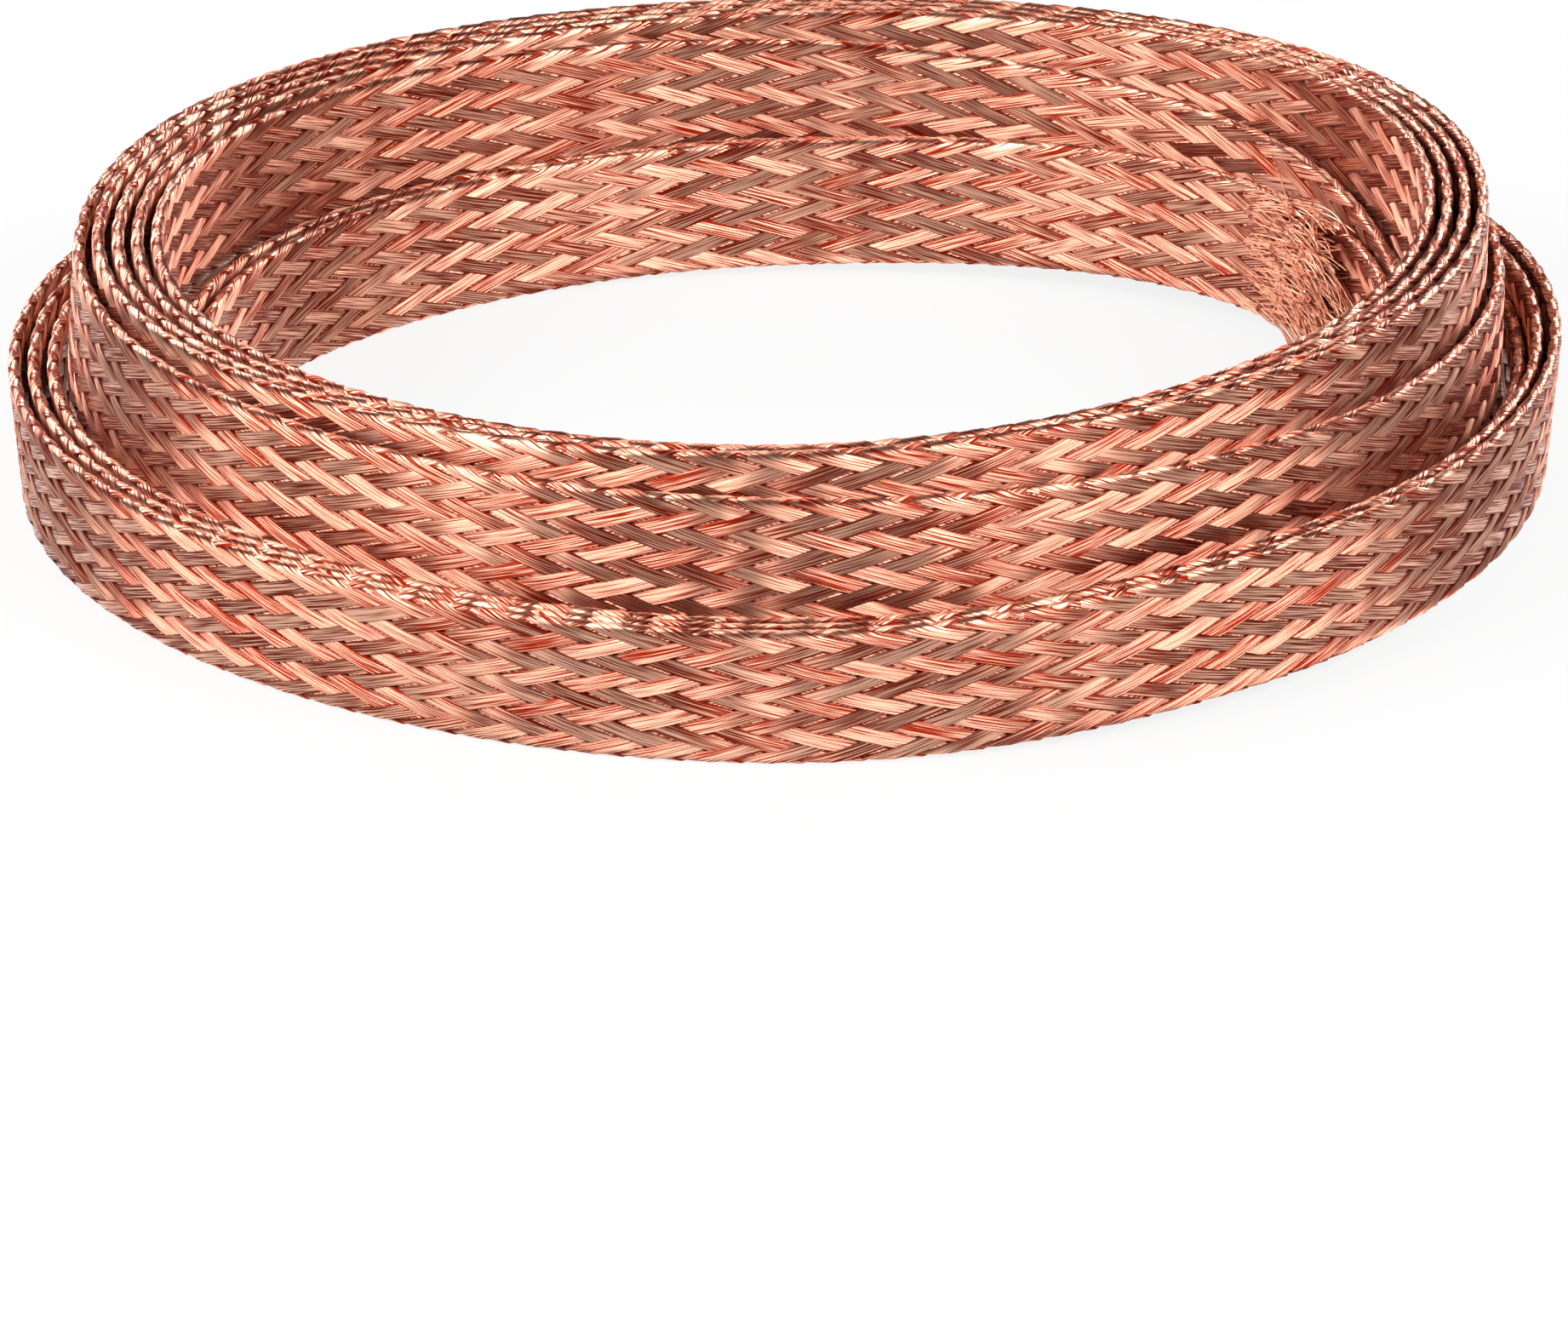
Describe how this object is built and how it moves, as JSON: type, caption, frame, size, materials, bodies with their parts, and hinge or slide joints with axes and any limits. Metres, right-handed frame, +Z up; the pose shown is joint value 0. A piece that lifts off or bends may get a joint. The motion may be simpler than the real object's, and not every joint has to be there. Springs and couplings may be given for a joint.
{
  "type": "flexible busbar braid",
  "caption": "Flat bare copper braid for flexible busbars and earth straps, wound on edge into a loose free-standing coil with frayed cut ends.",
  "frame": {"origin": "middle of the coil's footprint, on the surface that its lower turns stand on", "axes": "+Z up along the coil's own axis, +X to the side where the inner cut end lies, -Y towards the viewer of the picture"},
  "size_m": [0.1636, 0.167, 0.0319],
  "materials": {
    "bare_copper": "plaited bare soft copper wire, satin"
  },
  "bodies": {
    "root": {"copper_braid": "bare_copper"}
  },
  "joints": []
}
